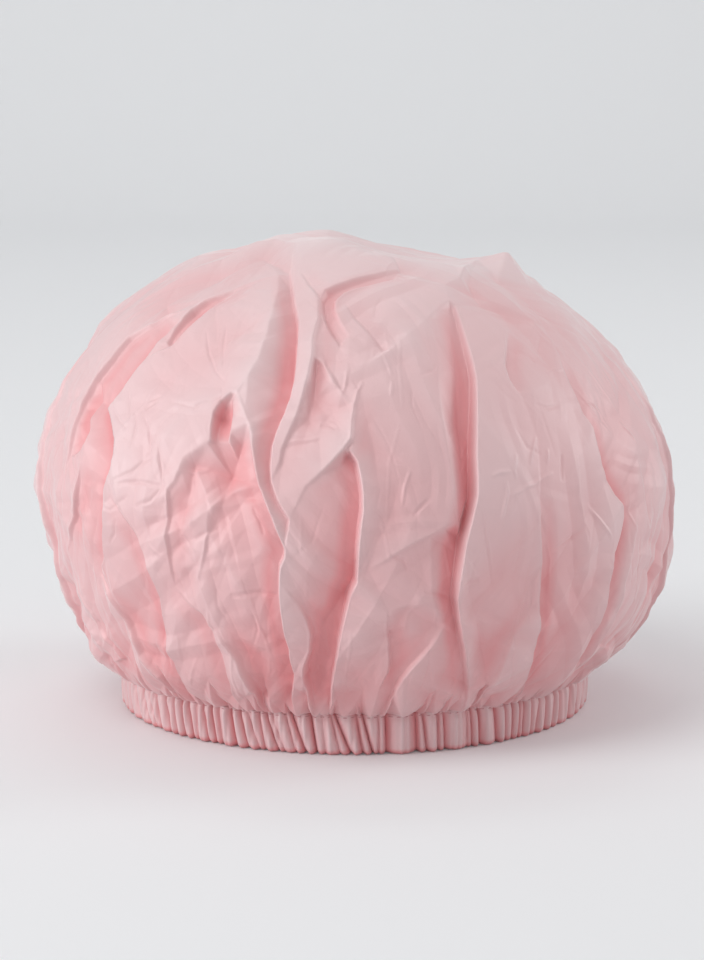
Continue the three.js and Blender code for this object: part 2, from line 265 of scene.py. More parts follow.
# Folds of the crown, traced over the photograph. The first three numbers are millimetres out from the
# smooth dome at the start, the middle and the end of the fold. The next three are how far the cloth beside
# it lies below its edge there: negative where that cloth is on the left, positive where it is on the right.
# Then come the pixels.
FOLDS = {
    "pocket_upper_lip": ((0.5, 1.5, 0.5), (1, 2.5, 1), [
        (166, 316), (150, 325), (128, 337), (117, 350), (107, 362), (97, 373), (88, 388), (81, 403),
        (75, 421), (70, 441), (68, 457),
    ]),
    "bright_panel_lip": ((1, 2.5, 1), (-2, -9, -2), [
        (176, 325), (156, 344), (143, 361), (132, 375), (119, 392), (106, 408), (110, 425), (113, 440),
        (113, 453), (111, 467), (107, 477), (104, 488), (104, 505), (104, 525), (103, 545), (104, 556),
        (101, 566),
    ]),
    "pocket_inner_lip": ((-2, -0.5, 0.5), (-1, -3.5, -1), [
        (102, 401), (96, 410), (91, 420), (90, 431), (86, 442), (80, 450), (72, 456),
    ]),
    "pocket_outer_ridge": ((0.5, 1, 0.5), (0.5, 2.5, 1), [
        (79, 462), (75, 480), (73, 500), (71, 520), (70, 537),
    ]),
    "pocket_slit": ((0, -2, -1.5), (0, 0, 0), [
        (191, 271), (183, 280), (177, 290), (171, 299), (168, 308), (169, 318),
    ]),
    "second_fold_crest": ((0.3, 1.2, 0.5), (0.5, 3, 1.5), [
        (240, 287), (222, 294), (205, 300), (191, 309), (183, 319), (175, 330), (167, 343),
    ]),
    "second_fold_lip": ((0.3, 1, 0.5), (0, -2.5, -1), [
        (232, 296), (215, 305), (200, 318), (191, 327), (182, 336), (171, 347),
    ]),
    "left_panel_crest": ((0.5, 2.5, 2.5), (0, 0, 0), [
        (278, 275), (278, 292), (272, 314), (266, 333), (258, 358), (248, 375), (236, 391),
    ]),
    "notch_edge": ((2, 1.5, 1), (1, 5, 2.5), [
        (232, 392), (221, 401), (213, 413), (211, 428), (211, 441),
    ]),
    "panel_turn": ((1, 1, 1), (0, 0, 0), [(207, 443), (196, 449), (184, 457)]),
    "panel_low_edge": ((1, 1, 0.3), (0.5, 1.5, 0.8), [
        (183, 458), (179, 470), (174, 481), (167, 490), (166, 505), (166, 530), (168, 556), (171, 572),
    ]),
    "panel_foot": ((0.6, 1, 0.6), (0, 0, 0), [
        (114, 498), (122, 508), (140, 510), (158, 507), (165, 503),
    ]),
    "tongue_left_edge": ((1, 1, 0.5), (-1.5, -3, -2), [
        (234, 396), (233, 408), (232, 421), (230, 432), (229, 441),
    ]),
    "tongue_crest": ((2, 2, 2), (0, 0.5, 0), [(237, 394), (243, 407), (248, 422), (250, 436)]),
    "front_left_ridge": ((2, 2, 1.2), (-2.5, -4, -4), [
        (250, 436), (252, 450), (254, 464), (258, 484), (265, 501), (272, 517), (279, 535), (285, 550),
        (285, 557), (281, 566), (280, 580), (280, 594), (282, 612), (285, 635), (289, 657), (293, 678),
        (293, 688), (291, 702),
    ]),
    "front_left_hollow": ((-3, -5, -1.5), (0, 0, 0), [
        (243, 446), (239, 462), (233, 478), (227, 494), (222, 508),
    ]),
    "glossy_crest": ((0.3, 1.8, 0.5), (0, 0.8, 0), [
        (210, 505), (206, 520), (205, 535), (203, 552), (200, 570), (197, 583),
    ]),
    "left_flank_valley": ((-2, -1.8, 0), (0, 0, 0), [
        (196, 466), (190, 495), (184, 520), (180, 545), (178, 565),
    ]),
    "long_diagonal_ridge": ((0.3, 1.8, 1), (0, -3, -2.5), [
        (113, 497), (122, 510), (130, 525), (137, 540), (143, 555), (149, 570), (154, 584), (158, 597),
        (162, 614), (166, 632), (170, 648), (175, 662), (181, 675), (189, 688), (197, 700),
    ]),
    "left_lower_ridge": ((0.3, 1.5, 0.8), (0.5, 2.5, 2), [
        (100, 575), (108, 588), (114, 600), (121, 615), (128, 630), (134, 643), (140, 655), (149, 665),
        (160, 676), (169, 688), (176, 699),
    ]),
    "far_left_ridge": ((0.3, 1.5, 0.5), (0, 1.5, 1), [
        (66, 545), (75, 570), (84, 595), (93, 613), (100, 630), (110, 645), (121, 660), (131, 672),
    ]),
    "centre_left_edge": ((0.5, 1.5, 0.5), (-0.8, -5, -1.5), [
        (292, 273), (293, 286), (295, 302), (299, 323), (298, 342), (296, 362), (294, 380), (290, 397),
        (284, 413), (277, 430), (272, 446), (270, 465), (271, 482), (278, 500), (290, 520),
    ]),
    "centre_left_crest": ((0.8, 2.5, 1), (0, 1.8, 1), [
        (297, 272), (307, 285), (318, 299), (318, 318), (313, 336), (312, 354), (308, 375), (302, 396),
        (296, 415), (288, 433), (281, 449), (279, 462),
    ]),
    "top_arc_crest": ((0.2, 1.2, 0.3), (0.8, 2.4, 0.8), [
        (398, 271), (375, 275), (352, 280), (335, 286), (325, 291), (320, 299), (322, 313), (327, 328),
        (337, 344),
    ]),
    "top_arc_lip": ((0.3, 1.2, 1), (-0.8, -2, -0.3), [
        (394, 280), (370, 285), (355, 288), (344, 292), (336, 299), (335, 310), (341, 322), (350, 335),
    ]),
    "shoulder_line": ((0.8, 2.2, 1.2), (0, 0, 0), [
        (350, 371), (365, 366), (380, 356), (395, 345), (410, 333), (425, 321), (437, 310), (449, 301),
    ]),
    "shoulder_facet": ((0.3, 1.2, 0.8), (0, 1, 0.3), [(344, 304), (352, 318), (368, 335), (381, 351)]),
    "facet_ridge_low": ((0.3, 1.2, 0.5), (0, 0.6, 0), [
        (319, 351), (325, 366), (333, 380), (341, 392), (349, 404),
    ]),
    "facet_valley": ((-1, -2.5, -1), (0, 0, 0), [(316, 362), (316, 380), (314, 400), (308, 420)]),
    "facet_ridge_high": ((0.3, 1.2, 0.5), (0, 0, 0), [(340, 350), (348, 362), (350, 375), (346, 392)]),
    "glossy_diagonal": ((0.8, 2.5, 0.8), (0.3, 2, 0.6), [
        (358, 394), (354, 404), (352, 420), (351, 438), (343, 449), (333, 460), (322, 471), (306, 485),
    ]),
    "glossy_diagonal_crease": ((0, -1, 0), (0, 0, 0), [
        (348, 405), (338, 410), (328, 418), (322, 428), (318, 437),
    ]),
    "centre_ridge": ((1.5, 1.8, 1), (-4, -5.5, -4), [
        (350, 451), (357, 461), (361, 478), (363, 495), (363, 511), (361, 525), (359, 545), (358, 565),
        (357, 583), (350, 598), (346, 613), (342, 630), (339, 645), (336, 662), (333, 680), (332, 702),
    ]),
    "centre_hollow_floor": ((-1, -2.8, -2.5), (0, 0, 0), [
        (341, 466), (345, 490), (347, 515), (346, 540), (344, 565), (340, 585),
    ]),
    "centre_groove": ((0, -1, 0), (0, 0, 0), [
        (367, 420), (371, 437), (374, 452), (376, 468), (378, 484),
    ]),
    "centre_soft_groove": ((0, -1, 0), (0, 0, 0), [
        (406, 465), (400, 481), (396, 496), (392, 512), (386, 527), (377, 542),
    ]),
    "front_strip_edge": ((0.5, 1.5, 1), (1, 4, 3.5), [
        (297, 602), (306, 620), (310, 636), (308, 655), (303, 668), (302, 681), (306, 692), (310, 706),
    ]),
    "front_valley_low": ((-1, -2.5, -2), (0, 0, 0), [
        (253, 600), (258, 625), (262, 650), (265, 672), (267, 690),
    ]),
    "third_ridge_left": ((0.3, 1, 0.5), (0, -1.5, -2.5), [
        (175, 588), (190, 602), (203, 612), (213, 629), (221, 647), (227, 663), (232, 680), (236, 697),
    ]),
    "third_ridge_right": ((1, 1.5, 1), (0.5, 2.5, 4), [
        (216, 631), (226, 645), (236, 658), (244, 675), (251, 690), (257, 703),
    ]),
    "deep_groove_shoulder": ((0.3, 1, 0.5), (0, 0, 0), [
        (437, 320), (436, 345), (438, 375), (441, 405), (445, 435), (450, 462), (455, 488),
    ]),
    "deep_groove_ridge": ((0.8, 2, 1), (-1.5, -7.5, -2), [
        (455, 307), (460, 320), (465, 336), (469, 349), (473, 362), (476, 377), (477, 395), (477, 415),
        (477, 435), (477, 455), (478, 478), (478, 495), (475, 511), (471, 526), (467, 541), (464, 557),
        (461, 572), (459, 584), (458, 600), (460, 620), (463, 640), (466, 662), (469, 692),
    ]),
    "deep_groove_floor": ((-0.5, -4, -2), (0, 0, 0), [
        (448, 318), (451, 340), (454, 370), (456, 400), (458, 430), (461, 460), (463, 485), (463, 508),
    ]),
    "groove_cross_ridge": ((0.3, 0.9, 0.3), (0, 0.8, 0), [
        (458, 521), (444, 527), (430, 535), (415, 542), (400, 550), (385, 560), (368, 569),
    ]),
    "right_strip_valley": ((-0.5, -2.5, -2), (0, 0, 0), [(475, 620), (480, 645), (484, 665), (483, 682)]),
    "right_diagonal_ridge": ((0.3, 1.2, 0.8), (0, -1.2, -1.5), [
        (535, 607), (519, 632), (510, 648), (504, 662), (497, 676), (487, 688),
    ]),
    "right_ridge": ((0.5, 1.8, 1), (0.5, 3.5, 4), [
        (538, 498), (539, 515), (540, 532), (542, 550), (543, 562), (542, 580), (541, 600), (540, 617),
        (537, 634), (533, 650), (530, 662), (526, 677), (521, 694),
    ]),
    "right_groove_lip": ((0.3, 1.5, 0.8), (0.5, 5, 1.5), [
        (562, 368), (569, 382), (577, 398), (583, 414), (592, 428), (597, 446), (602, 464), (608, 480),
        (614, 494), (622, 506), (623, 518), (620, 534), (616, 551), (611, 569), (607, 586), (603, 601),
        (599, 615), (594, 628), (587, 642), (578, 657), (567, 672),
    ]),
    "far_right_ridge": ((0.3, 1.5, 0.5), (0, 1.5, 1), [
        (638, 508), (635, 530), (631, 550), (625, 572), (620, 590), (614, 612), (605, 633), (593, 650),
        (581, 668),
    ]),
    "shoulder_peak_rise": ((1, 4, 8), (0, 0, 0), [
        (445, 285), (460, 277), (476, 270), (490, 263), (503, 257),
    ]),
    "shoulder_peak_fall": ((8, 5, 1), (0, 1, 0), [(507, 258), (513, 268), (521, 279), (530, 292)]),
    "right_top_crease": ((0, -1.5, 0), (0, 0, 0), [(468, 284), (473, 297), (480, 307), (486, 315)]),
    "right_top_second_crease": ((0, -1.5, 0), (0, 0, 0), [
        (490, 300), (498, 313), (507, 322), (512, 332),
    ]),
    "right_facet_edge": ((0.5, 1.2, 0.5), (0.3, 2, 0.8), [
        (507, 332), (505, 347), (504, 364), (508, 378), (516, 391),
    ]),
    "right_facet_foot": ((0.3, 1, 0.3), (0, 0, 0), [(520, 394), (532, 391), (545, 384), (557, 373)]),
    "chevron_crease": ((0, -0.8, 0), (0, 0, 0), [
        (467, 584), (480, 580), (496, 571), (510, 577), (525, 581), (535, 580),
    ]),
    "corner_crease_down": ((0.8, 0.8, 0.5), (0, 1.5, 2), [
        (387, 609), (386, 628), (388, 650), (388, 672),
    ]),
    "corner_crease_across": ((0.8, 0.8, 0), (0, 0.6, 0), [
        (390, 609), (402, 607), (418, 605), (432, 602),
    ]),
    "diagonal_to_hem": ((0.3, 1.2, 0.8), (0, -1.5, -2.5), [
        (446, 626), (440, 634), (427, 652), (413, 667), (403, 679), (396, 690), (391, 702),
    ]),
}

# Thin creases and thin ridges in the flat panels, traced in the same way
PANEL_CREASES = [
    [(113, 398), (115, 412), (120, 421), (128, 429)],
    [(145, 410), (150, 405), (160, 400)],
    [(412, 391), (412, 405), (416, 415), (422, 428)],
    [(438, 363), (432, 370), (420, 376)],
    [(563, 454), (563, 481)],
    [(555, 552), (565, 546), (575, 540), (582, 533), (587, 526)],
    [(519, 350), (530, 354), (537, 361)],
    [(500, 262), (505, 268), (511, 274)],
    [(529, 302), (540, 312), (552, 318)],
    [(544, 330), (541, 345), (539, 352)],
    [(414, 516), (422, 507), (431, 499)],
    [(390, 556), (404, 562), (408, 572)],
    [(425, 592), (440, 596), (452, 601)],
    [(462, 585), (480, 580)],
    [(320, 425), (328, 424), (336, 428)],
    [(226, 322), (222, 345), (224, 368)],
    [(206, 330), (208, 352), (216, 372), (227, 384)],
    [(585, 400), (596, 404), (606, 414)],
    [(535, 404), (548, 408), (560, 405)],
    [(130, 390), (131, 420)],
    [(136, 412), (137, 426), (134, 438), (131, 448)],
    [(143, 414), (149, 428), (151, 456)],
    [(159, 437), (160, 456), (163, 487)],
    [(152, 457), (143, 462), (133, 472), (114, 482)],
    [(114, 485), (140, 482), (163, 487)],
    [(163, 487), (150, 501), (135, 507)],
    [(145, 402), (165, 395)],
    [(170, 402), (195, 408), (215, 400), (230, 392)],
    [(193, 541), (206, 533), (217, 529)],
    [(250, 508), (258, 522), (263, 536)],
    [(230, 597), (256, 594), (278, 598)],
]

PANEL_RIDGES = [
    [(283, 443), (291, 441), (305, 440), (320, 437)],
    [(384, 357), (389, 367), (392, 376)],
    [(392, 381), (391, 396)],
    [(491, 477), (498, 473), (511, 472)],
    [(505, 480), (507, 492), (504, 505), (501, 520)],
    [(509, 496), (520, 491), (528, 486), (535, 484), (545, 477), (554, 473)],
    [(590, 505), (600, 520), (605, 530), (610, 538)],
    [(347, 371), (345, 385), (341, 394)],
    [(363, 381), (357, 392), (354, 402)],
    [(549, 449), (548, 463)],
    [(537, 436), (533, 452), (530, 464)],
    [(516, 454), (513, 470), (516, 479)],
    [(411, 470), (405, 488), (403, 506)],
    [(322, 361), (328, 375), (336, 387)],
    [(151, 357), (160, 352), (170, 346)],
    [(178, 470), (190, 472), (205, 468)],
    [(566, 368), (556, 368), (549, 372)],
    [(625, 420), (633, 430), (640, 442)],
]

# Creases between the hem's gathers at the front: pixel columns at the stitch row and the foot, and depth
FRONT_CREASES = [
    (138, 144, 0.5), (146, 154, 0.8), (152, 159, 0.4), (158, 163, 0.6), (168, 173, 1.0), (175, 179, 0.6),
    (183, 187, 1.0), (190, 195, 1.0), (198, 200, 0.4), (204, 210, 0.8), (212, 217, 1.0), (219, 223, 0.6),
    (231, 237, 1.0), (240, 249, 0.8), (248, 260, 0.5), (259, 266, 0.6), (266, 279, 0.8), (273, 286, 0.3),
    (285, 296, 0.5), (291, 306, 1.0), (311, 317, 1.0), (322, 326, 0.3), (330, 340, 0.5), (334, 351, 1.0),
    (356, 363, 0.8), (362, 373, 1.0), (377, 379, 0.3), (385, 386, 1.0), (416, 418, 1.0), (422, 427, 0.8),
    (437, 438, 0.6), (443, 445, 0.8), (466, 467, 0.5), (470, 472, 0.8), (477, 480, 1.0), (494, 497, 0.9),
    (503, 505, 0.5), (511, 511, 0.8), (519, 517, 1.0), (523, 522, 0.8), (530, 529, 0.5), (537, 534, 0.8),
    (543, 543, 1.0), (552, 550, 0.6), (557, 555, 0.9), (568, 566, 0.9), (574, 572, 0.9), (579, 577, 0.6),
]


# The smooth dome: outline, slump and the way to it from the photograph


def dome_outline():
    """Arc length from the top to the seam, and at each place the radius, the height and the outward slope."""
    angle = np.linspace(math.pi / 2, 0, 400)
    upper_radius = DOME_RADIUS * np.cos(angle).clip(0) ** (2 / UPPER_FULLNESS)
    upper_height = WIDEST_HEIGHT + (DOME_TOP - WIDEST_HEIGHT) * np.sin(angle) ** (2 / UPPER_FULLNESS)
    angle = np.linspace(0, math.pi / 2, 300)[1:]
    bulge = DOME_RADIUS - HEM_RADIUS
    lower_radius = HEM_RADIUS + bulge * np.cos(angle).clip(0) ** (2 / LOWER_FULLNESS)
    lower_height = WIDEST_HEIGHT - (WIDEST_HEIGHT - SEAM_HEIGHT) * np.sin(angle) ** (2 / LOWER_FULLNESS)
    radius = np.concatenate([upper_radius, lower_radius])
    height = np.concatenate([upper_height, lower_height])
    arc = np.concatenate([[0], np.cumsum(np.hypot(np.diff(radius), np.diff(height)))])
    even = np.linspace(0, arc[-1], 1200)
    radius = np.interp(even, arc, radius)
    height = np.interp(even, arc, height)
    along_radius = np.gradient(radius, even)
    along_height = np.gradient(height, even)
    length = np.hypot(along_radius, along_height)
    return even, radius, height, -along_height / length, along_radius / length


ARC, ARC_RADIUS, ARC_HEIGHT, ARC_OUT, ARC_UP = dome_outline()
ARC_LENGTH = ARC[-1]


def smoothstep(low, high, value):
    t = np.clip((value - low) / (high - low), 0, 1)
    return t * t * (3 - 2 * t)


def slumped(points):
    """The slack top leans to the left and has a shallow hollow, and the lower part leans to the right."""
    x, y, z = points[..., 0], points[..., 1], points[..., 2]
    rise = np.maximum(0, (z - WIDEST_HEIGHT) / (DOME_TOP - WIDEST_HEIGHT))
    spread = np.hypot(x - DENT_PLACE, y) / DENT_SPREAD
    dent = DENT_DEPTH * rise * np.exp(-0.5 * spread**2)
    lean = LOW_LEAN * np.exp(-0.5 * ((z - LEAN_HEIGHT) / LEAN_SPREAD) ** 2)
    lean *= smoothstep(SEAM_HEIGHT, LEAN_HEIGHT, z)
    return np.stack([x + TOP_SHIFT * rise**2 + lean, y, z - dent], axis=-1)


def crown_points(turn, arc, lift):
    """Points of the crown at an angle round it and an arc from its top, lifted off the smooth dome."""
    radius = np.interp(arc, ARC, ARC_RADIUS)
    height = np.interp(arc, ARC, ARC_HEIGHT)
    # At the seam the cloth is lifted straight outwards, to run on into the hem's gathers
    level = smoothstep(ARC_LENGTH - SEAM_BLEND, ARC_LENGTH, arc)
    out = np.interp(arc, ARC, ARC_OUT) * (1 - level) + level
    up = np.interp(arc, ARC, ARC_UP) * (1 - level)
    scale = lift / np.hypot(out, up)
    radius = radius + out * scale
    height = height + up * scale
    return slumped(np.stack([radius * np.cos(turn), radius * np.sin(turn), height], axis=-1))


def camera_axes():
    """The camera's place and its right, up and forward directions."""
    back = Vector((0, -math.cos(CAMERA_ELEVATION), math.sin(CAMERA_ELEVATION)))
    place = CAMERA_TARGET + CAMERA_DISTANCE * back
    up = Vector((0, math.sin(CAMERA_ELEVATION), math.cos(CAMERA_ELEVATION)))
    return np.array(place), np.array((1.0, 0.0, 0.0)), np.array(up), -np.array(back)


def in_photograph(points):
    """Pixel places of points in the photograph."""
    place, right, up, forward = camera_axes()
    seen = points - place
    depth = seen @ forward
    across = PHOTO_WIDTH / 2 + FOCAL_PIXELS * (seen @ right) / depth
    down = PHOTO_HEIGHT / 2 - FOCAL_PIXELS * (seen @ up) / depth
    return np.stack([across, down], axis=-1)


FRONT_TURNS = np.linspace(-math.pi, 0, 361)
FRONT_ARCS = np.linspace(6 * MM, ARC_LENGTH, 181)
FRONT_SAMPLE_TURN, FRONT_SAMPLE_ARC = np.meshgrid(FRONT_TURNS, FRONT_ARCS)
FRONT_SAMPLE_POINTS = crown_points(FRONT_SAMPLE_TURN, FRONT_SAMPLE_ARC, 0.0 * FRONT_SAMPLE_ARC)
FRONT_SAMPLE_PIXELS = in_photograph(FRONT_SAMPLE_POINTS)
SEARCH_STEPS = np.linspace(-1, 1, 21)
SEARCH_REACHES = (8 * MM, 2 * MM, 0.4 * MM)


def nearest(pixels, pixel):
    """Row and column, in a grid of pixel places, of the one nearest to a pixel."""
    gap = np.hypot(pixels[..., 0] - pixel[0], pixels[..., 1] - pixel[1])
    return np.unravel_index(np.argmin(gap), gap.shape)


def on_crown(pixel, lift):
    """The angle and the arc of the place on the crown's front that shows at a pixel."""
    row, column = nearest(FRONT_SAMPLE_PIXELS, pixel)
    turn, arc = FRONT_TURNS[column], FRONT_ARCS[row]
    for reach in SEARCH_REACHES:
        turns, arcs = np.meshgrid(turn + SEARCH_STEPS * reach / DOME_RADIUS, arc + SEARCH_STEPS * reach)
        arcs = np.clip(arcs, LEAST_ARC, ARC_LENGTH)
        pixels = in_photograph(crown_points(turns, arcs, np.full(arcs.shape, lift)))
        row, column = nearest(pixels, pixel)
        turn, arc = turns[row, column], arcs[row, column]
    return turn, arc


# Folds as runs of (angle, arc, lift) over the crown


def lengths_along(points):
    steps = np.hypot(*np.diff(np.array(points, float), axis=0).T)
    return np.concatenate([[0], np.cumsum(steps)])


def along_fold(along, values):
    """Values in mm at a fold's start, middle and end, worked out for the places along it."""
    return np.interp(along, along[-1] * np.array([0, 0.5, 1]), values) * MM


def traced_run(heights, pixels):
    """A fold of the photograph as places on the crown. One that ends close above the seam goes on to it."""
    lifts = along_fold(lengths_along(pixels), heights)
    run = np.array([(*on_crown(pixel, lift), lift) for pixel, lift in zip(pixels, lifts)])
    if MM < ARC_LENGTH - run[-1, 1] < SEAM_REACH:
        run = np.vstack([run, (run[-1, 0], ARC_LENGTH, 0)])
    return run


TRACED_FOLDS = [(traced_run(heights, pixels), laps) for heights, laps, pixels in FOLDS.values()]


def across_blank(run, to_side):
    """Directions across a run, to its right or its left, in radians and metres of arc for each metre."""
    turn, arc = run[:, 0], run[:, 1]
    radius = np.interp(arc, ARC, ARC_RADIUS)
    across = np.gradient(turn) * radius
    down = np.gradient(arc)
    length = np.hypot(across, down).clip(1e-9)
    side = np.where(down * to_side > 0, 1, -1) / length
    return np.stack([side * down / radius, -side * across], axis=-1)


def lapped_runs(run, laps):
    """A fold's edge, and the foot of the step down to the cloth beside it."""
    depth = along_fold(lengths_along(on_blank(run[:, 0], run[:, 1])), np.abs(laps))
    depth *= SEAM_LAP + (1 - SEAM_LAP) * smoothstep(0, LAP_FADE, ARC_LENGTH - run[:, 1])
    floor = run.copy()
    floor[:, :2] += across_blank(run, sum(laps)) * LAP_GAP
    floor[:, 1] = floor[:, 1].clip(LEAST_ARC, ARC_LENGTH)
    floor[:, 2] -= depth
    return [run, floor]


def front_runs():
    """Every fold of the photograph, with the cloth below its edge where it has one."""
    runs = []
    for run, laps in TRACED_FOLDS:
        runs += lapped_runs(run, laps) if any(laps) else [run]
    return runs


def rear_run(run):
    """A fold of the unseen back: a front one turned to the back, bent and made weaker."""
    turn, arc, lift = run[np.sin(run[:, 0]) < REAR_FROM].T
    turned = -turn + REAR_BEND * np.sin(3 * turn + 0.8)
    moved = np.clip(arc * (1 + REAR_SLIDE * np.sin(2 * turn)), REAR_TOP, ARC_LENGTH - REAR_SEAM)
    return np.stack([turned, moved, lift * REAR_STRENGTH], axis=-1)


def side_runs():
    """Pleats at both sides, which the photograph doesn't show from the front."""
    runs = []
    for side in (1, -1):
        for degrees, start, lift, lap in SIDE_PLEATS:
            share = np.linspace(start, 1, SIDE_STEPS)
            angle = np.radians(degrees) + SIDE_WAVE * np.sin(SIDE_WAVES * share + degrees * side)
            turn = angle if side > 0 else math.pi - angle
            lifts = lift * MM * np.sin(math.pi * (share - start) / (1 - start))
            run = np.stack([turn, share * ARC_LENGTH, lifts], axis=-1)
            runs += lapped_runs(run, (0, side * lap, side * lap / 2))
    return runs


# The hem's gathers


def on_hem(column):
    """The angle of the place on the hem's front that shows in a pixel column."""
    turns = np.linspace(-math.pi, 0, 7201)
    middle = np.full(turns.shape, SEAM_HEIGHT / 2)
    ring = np.stack([HEM_RADIUS * np.cos(turns), HEM_RADIUS * np.sin(turns), middle], axis=-1)
    return turns[np.argmin(abs(in_photograph(ring)[:, 0] - column))]


def gather_creases():
    """Angles of the creases between the gathers, at the stitch row and at the foot, and their depths."""
    top = [on_hem(crease[0]) for crease in FRONT_CREASES]
    foot = [on_hem(crease[1]) for crease in FRONT_CREASES]
    depth = [crease[2] for crease in FRONT_CREASES]
    turn = top[-1]
    last = top[0] + 2 * math.pi - REAR_PLEAT_LEAST / HEM_RADIUS
    while True:
        turn += rng.uniform(REAR_PLEAT_LEAST, REAR_PLEAT_MOST) * rng.uniform(0.6, 1) / HEM_RADIUS
        if turn > last:
            break
        top.append(turn)
        foot.append(turn + rng.normal(0, REAR_PLEAT_LEAN))
        depth.append(rng.uniform(REAR_CREASE_LEAST, 1))
    return np.array(top), np.sort(np.array(foot)), np.array(depth)


rng = np.random.default_rng(SEED)
CREASE_TOP, CREASE_FOOT, CREASE_DEPTHS = gather_creases()


def swell(turn, height):
    """How far a gather stands out at a place on the hem: 0 in a deep crease, 1 on a wide gather."""
    share = np.clip(height / SEAM_HEIGHT, 0, 1)
    creases = CREASE_FOOT * (1 - share) + CREASE_TOP * share
    edges = np.append(creases, creases[0] + 2 * math.pi)
    depths = np.append(CREASE_DEPTHS, CREASE_DEPTHS[0])
    wrapped = edges[0] + np.mod(turn - edges[0], 2 * math.pi)
    place = np.clip(np.searchsorted(edges, wrapped, side="right") - 1, 0, len(creases) - 1)
    width = edges[place + 1] - edges[place]
    across = np.clip((wrapped - edges[place]) / width, 0, 1)
    fullness = np.minimum(1, (width * HEM_RADIUS / WIDE_PLEAT) ** 0.5)
    level = 1 - depths[place] * (1 - across) - depths[place + 1] * across
    return fullness * (level + (1 - level) * np.sin(math.pi * across).clip(0) ** GATHER_ROUND)


def ply_radius(turn, height):
    """Outer face of the hem's outer ply: gathered, and drawn in along the stitch row."""
    drawn = STITCH_GROOVE * math.exp(-(((height - STITCH_HEIGHT) / STITCH_SPREAD) ** 2))
    tapered = FOOT_TAPER + (1 - FOOT_TAPER) * math.sin(math.pi / 2 * min(1, height / BARREL_HEIGHT))
    wavering = np.sin(FINE_COUNT * turn + 3 * np.sin(FINE_DRIFT * turn))
    fine = FINE_GATHER * wavering * np.sin(FINE_PATCHES * turn)
    gathered = (GATHER_DEPTH * tapered - drawn) * swell(turn, height) * (1 + fine)
    return PLY_VALLEY + gathered - VALLEY_DRAW * drawn


# Cloth between the folds, worked out on the crown's blank: a flat disc as wide as the arc over the top


def on_blank(turn, arc):
    return np.stack([arc * np.cos(turn), arc * np.sin(turn)], axis=-1)


def blank_grid(step):
    """An empty square grid over the blank."""
    size = 2 * int(ARC_LENGTH / step) + GRID_MARGIN
    return np.zeros((size, size))


def sampled(grid, places, step):
    """Values of a square grid over the blank, between its cells."""
    cell = np.clip(places / step + len(grid) / 2, 0, len(grid) - 1.001)
    low = cell.astype(int)
    x, y = low[..., 0], low[..., 1]
    share_x, share_y = cell[..., 0] - x, cell[..., 1] - y
    near = grid[x, y] * (1 - share_y) + grid[x, y + 1] * share_y
    far = grid[x + 1, y] * (1 - share_y) + grid[x + 1, y + 1] * share_y
    return near * (1 - share_x) + far * share_x


def settled_between(runs):
    """A first, smooth shape: a skin stretched between the folds, on a coarse grid over the blank."""
    total, count = blank_grid(SKIN_STEP), blank_grid(SKIN_STEP)
    size = len(total)
    for places, lifts in runs:
        along = lengths_along(places)
        even = np.linspace(0, along[-1], 2 + int(along[-1] / (SKIN_STEP / 2)))
        x, y = (np.interp(even, along, places[:, i]) / SKIN_STEP + size / 2 for i in (0, 1))
        cell = np.rint(x).astype(int).clip(0, size - 1), np.rint(y).astype(int).clip(0, size - 1)
        np.add.at(total, cell, np.interp(even, along, lifts))
        np.add.at(count, cell, 1)
    skin = total / np.maximum(count, 1)
    inner = np.pad(np.ones((size - 2, size - 2), bool), 1)
    checks = np.add.outer(np.arange(size), np.arange(size)) % 2
    turns = [inner & (count == 0) & (checks == colour) for colour in (0, 1)]
    for _ in range(SKIN_SWEEPS):
        for free in turns:
            beside = sum(np.roll(skin, step, axis) for axis in (0, 1) for step in (1, -1))
            skin = np.where(free, skin + SKIN_HASTE * (SKIN_PULL * beside - skin), skin)
    return skin


def faceted(places, edges, lifts, skin):
    """Lift over the blank, in flat facets between the given places, with creases along the given edges."""
    corners, _, triangles, origins, _, _ = delaunay_2d_cdt(
        [Vector(place / MM) for place in places], edges, [], 0, 1e-4, True
    )
    corners = np.array([tuple(corner) for corner in corners]) * MM
    at_corners = np.zeros(len(corners))
    for i, origin in enumerate(origins):
        at_corners[i] = lifts[origin].mean() if origin else sampled(skin, corners[i], SKIN_STEP)
    grid = blank_grid(BLANK_STEP)
    size = len(grid)
    cells = corners / BLANK_STEP + size / 2
    for triangle in triangles:
        (ax, ay), (bx, by), (cx, cy) = cells[triangle]
        twice_area = (bx - ax) * (cy - ay) - (cx - ax) * (by - ay)
        if abs(twice_area) < 1e-6:
            continue
        low = np.floor(cells[triangle].min(axis=0)).astype(int).clip(0, size - 1)
        high = np.ceil(cells[triangle].max(axis=0)).astype(int).clip(0, size - 1)
        x = np.arange(low[0], high[0] + 1)[:, None]
        y = np.arange(low[1], high[1] + 1)[None, :]
        second = ((x - ax) * (cy - ay) - (cx - ax) * (y - ay)) / twice_area
        third = ((bx - ax) * (y - ay) - (x - ax) * (by - ay)) / twice_area
        shares = np.stack([1 - second - third, second, third], axis=-1)
        inside = (shares >= -1e-9).all(axis=-1)
        part = grid[low[0] : high[0] + 1, low[1] : high[1] + 1]
        part[inside] = shares[inside] @ at_corners[triangle]
    return grid


def softened(grid, times):
    """Rounds the creases a little, as the cloth's own stiffness does."""
    for _ in range(times):
        for axis in (0, 1):
            grid = (np.roll(grid, 1, axis) + 2 * grid + np.roll(grid, -1, axis)) / 4
    return grid


